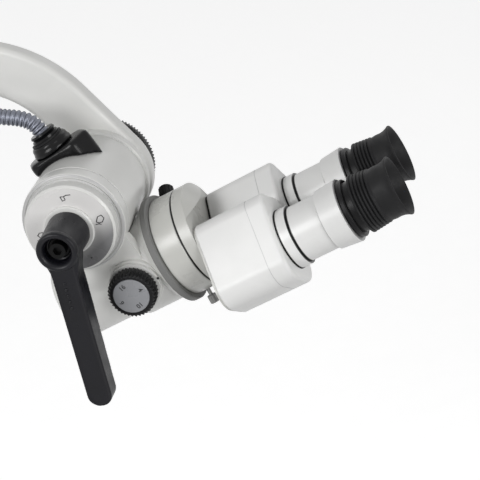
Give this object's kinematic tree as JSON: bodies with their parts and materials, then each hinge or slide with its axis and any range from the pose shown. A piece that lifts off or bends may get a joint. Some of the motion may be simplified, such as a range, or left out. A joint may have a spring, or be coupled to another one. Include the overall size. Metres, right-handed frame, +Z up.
{
  "type": "surgical microscope head",
  "caption": "Straight binocular operating microscope head with tilt drum, clamp lever, magnification knobs and swing-out eyepieces on a bent arm with a stand pin.",
  "frame": {"origin": "on the stand pin's axis at its shoulder, the top of the arm's boss", "axes": "+Z up along the stand pin, +X from the pin towards the eyepieces, the tilt axis along Y"},
  "size_m": [0.4014, 0.1737, 0.2844],
  "materials": {
    "white_enamel": "satin",
    "dial_enamel": "satin",
    "pale_metal": "satin",
    "grey_metal": "matte",
    "scale_metal": "satin",
    "bright_steel": "satin",
    "conduit_steel": "polished",
    "black_steel": "satin",
    "bronze": "satin",
    "black_plastic": "satin",
    "lever_plastic": "matte",
    "black_rubber": "matte",
    "coated_glass": "polished"
  },
  "bodies": {
    "carrier": {"stand_pin": "bright_steel", "carrier_arm": "white_enamel", "arm_flange": "white_enamel", "arm_screws": "bright_steel", "tilt_drum": "white_enamel", "tilt_shaft": "bright_steel", "friction_washer": "black_plastic", "gland_base": "black_plastic", "gland_turret": "black_plastic", "gland_seal": "black_rubber", "gland_nut": "black_plastic", "conduit": "conduit_steel", "conduit_ferrule": "bright_steel", "arm_gland": "black_plastic"},
    "wheel": {"tilt_wheel": "black_plastic", "wheel_hub": "bright_steel"},
    "lever_core": {"lever_insert": "bright_steel", "lever_screw": "black_steel"},
    "lever_handle": {"clamp_lever": "lever_plastic"},
    "head": {"head_housing": "white_enamel", "tilt_bush": "bronze", "face_disc": "dial_enamel", "hub_collar": "white_enamel", "objective_cell": "black_steel", "objective_lens": "coated_glass", "knob_base_rings": "white_enamel", "clamp_ring": "grey_metal", "microscope_barrel": "pale_metal", "tube_lenses": "coated_glass"},
    "changer": {"changer_turret": "black_steel", "changer_shaft": "bright_steel", "changer_lenses": "coated_glass", "changer_knobs": "black_plastic", "changer_scales": "scale_metal"},
    "ring_screw": {"clamp_screw": "bright_steel", "clamp_screw_knob": "black_plastic"},
    "thumbscrew": {"barrel_thumbscrew": "bright_steel"},
    "binocular": {"swivel_ring": "black_steel", "binocular_base": "pale_metal"},
    "near_tube": {"near_swing_plate": "black_steel", "near_prism_housing": "white_enamel", "near_prism_cover": "white_enamel", "near_prism": "coated_glass", "near_tube_seals": "black_rubber", "near_tube_collar": "white_enamel", "near_eyepiece_tube": "white_enamel"},
    "far_tube": {"far_swing_plate": "black_steel", "far_prism_housing": "white_enamel", "far_prism_cover": "white_enamel", "far_prism": "coated_glass", "far_tube_seals": "black_rubber", "far_tube_collar": "white_enamel", "far_eyepiece_tube": "white_enamel"},
    "near_ocular": {"near_eyepiece": "black_plastic", "near_eye_lens": "coated_glass", "near_eyecup": "black_rubber"},
    "far_ocular": {"far_eyepiece": "black_plastic", "far_eye_lens": "coated_glass", "far_eyecup": "black_rubber"}
  },
  "joints": [
    {"name": "head_tilt", "type": "hinge", "parent": "carrier", "child": "head", "pos_m": [0.135, -0.0538, -0.112], "axis": [0, -1, 0], "range_deg": [-40, 40]},
    {"name": "wheel_turn", "type": "hinge", "parent": "carrier", "child": "wheel", "pos_m": [0.135, 0.025, -0.112], "axis": [0, -1, 0], "range_deg": [-180, 180]},
    {"name": "lever_turn", "type": "hinge", "parent": "carrier", "child": "lever_core", "pos_m": [0.135, -0.1097, -0.112], "axis": [0, -1, 0], "range_deg": [-70, 70]},
    {"name": "lever_lift", "type": "slide", "parent": "lever_core", "child": "lever_handle", "axis": [0, -1, 0], "range_m": [0, 0.004], "stiffness_N_per_m": 800, "springref_m": -0.002},
    {"name": "changer_turn", "type": "hinge", "parent": "head", "child": "changer", "pos_m": [0.17998, -0.0538, -0.16243], "axis": [0, -1, 0], "continuous": true},
    {"name": "ring_screw_turn", "type": "hinge", "parent": "head", "child": "ring_screw", "pos_m": [0.20308, -0.0538, -0.14827], "axis": [-0.2612, 0.866, 0.4263], "range_deg": [0, 360]},
    {"name": "thumbscrew_turn", "type": "hinge", "parent": "head", "child": "thumbscrew", "pos_m": [0.20956, -0.0538, -0.1443], "axis": [0.5111, -0.2079, -0.834], "range_deg": [0, 360]},
    {"name": "binocular_swivel", "type": "hinge", "parent": "head", "child": "binocular", "pos_m": [0.20087, -0.0538, -0.14963], "axis": [0.8526, 0, 0.5225], "range_deg": [-30, 30]},
    {"name": "near_swing", "type": "hinge", "parent": "binocular", "child": "near_tube", "pos_m": [0.20385, -0.0718, -0.15449], "axis": [0.8526, 0, 0.5225], "range_deg": [-15, 12]},
    {"name": "far_swing", "type": "hinge", "parent": "binocular", "child": "far_tube", "pos_m": [0.20385, -0.0358, -0.15449], "axis": [0.8526, 0, 0.5225], "range_deg": [-12, 15]},
    {"name": "near_diopter_turn", "type": "hinge", "parent": "near_tube", "child": "near_ocular", "pos_m": [0.21352, -0.08476, -0.17027], "axis": [0.8526, 0, 0.5225], "range_deg": [-150, 150]},
    {"name": "far_diopter_turn", "type": "hinge", "parent": "far_tube", "child": "far_ocular", "pos_m": [0.21352, -0.02284, -0.17027], "axis": [0.8526, 0, 0.5225], "range_deg": [-150, 150]}
  ],
  "couplings": [
    {"joint": "far_swing", "follows": "near_swing", "ratio": -1}
  ]
}
